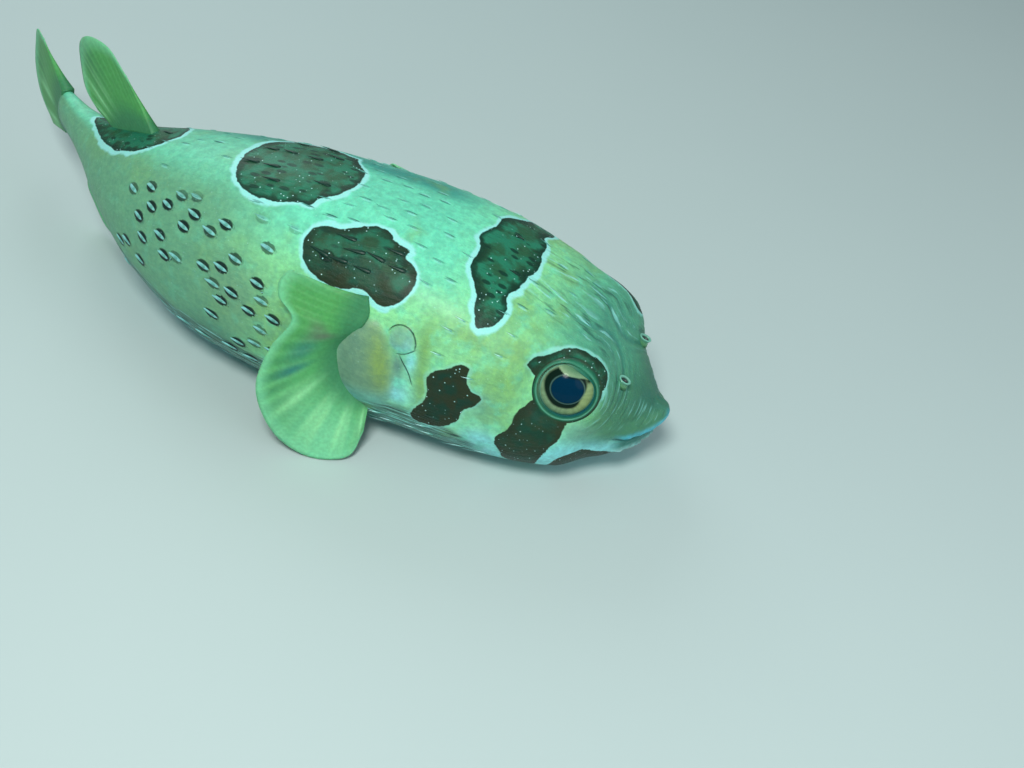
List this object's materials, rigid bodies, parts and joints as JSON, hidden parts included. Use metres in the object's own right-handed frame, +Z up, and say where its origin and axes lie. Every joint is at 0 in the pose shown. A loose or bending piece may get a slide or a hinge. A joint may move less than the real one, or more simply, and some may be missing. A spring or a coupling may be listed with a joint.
{
  "type": "black-blotched porcupinefish",
  "caption": "Still, life-size spiny pufferfish resting on its belly, with large round eyes, broad lips, spread side fins, dark blotches and a tail bent to the left.",
  "frame": {"origin": "the middle of the fish's box, at the level of the floor that its belly rests on", "axes": "+X to the head, +Y to the fish's left side, +Z up"},
  "size_m": [0.4218, 0.177, 0.1215],
  "materials": {
    "skin": "moist satin fish skin, yellow-green with dark blotches edged in pale blue-white, white below",
    "spine": "smooth pale horny spines with darker tips",
    "lips": "moist fleshy lips, pale blue-white at the edge",
    "eye": "wet, clear and glossy over a cream iris and a blue-black pupil",
    "nostril": "pale, thin-walled fleshy tube",
    "fin": "thin, ribbed, slightly translucent green-yellow membrane"
  },
  "bodies": {
    "root": {"head": "skin", "trunk": "skin", "tail_stalk": "skin", "upper_lip": "lips", "lower_lip": "lips", "eye_right": "eye", "eye_left": "eye", "nostril_right": "nostril", "nostril_left": "nostril", "pectoral_base_right": "skin", "pectoral_base_left": "skin", "pectoral_fin_right": "fin", "pectoral_fin_left": "fin", "dorsal_fin": "fin", "anal_fin": "fin", "caudal_fin": "fin"}
  },
  "joints": []
}
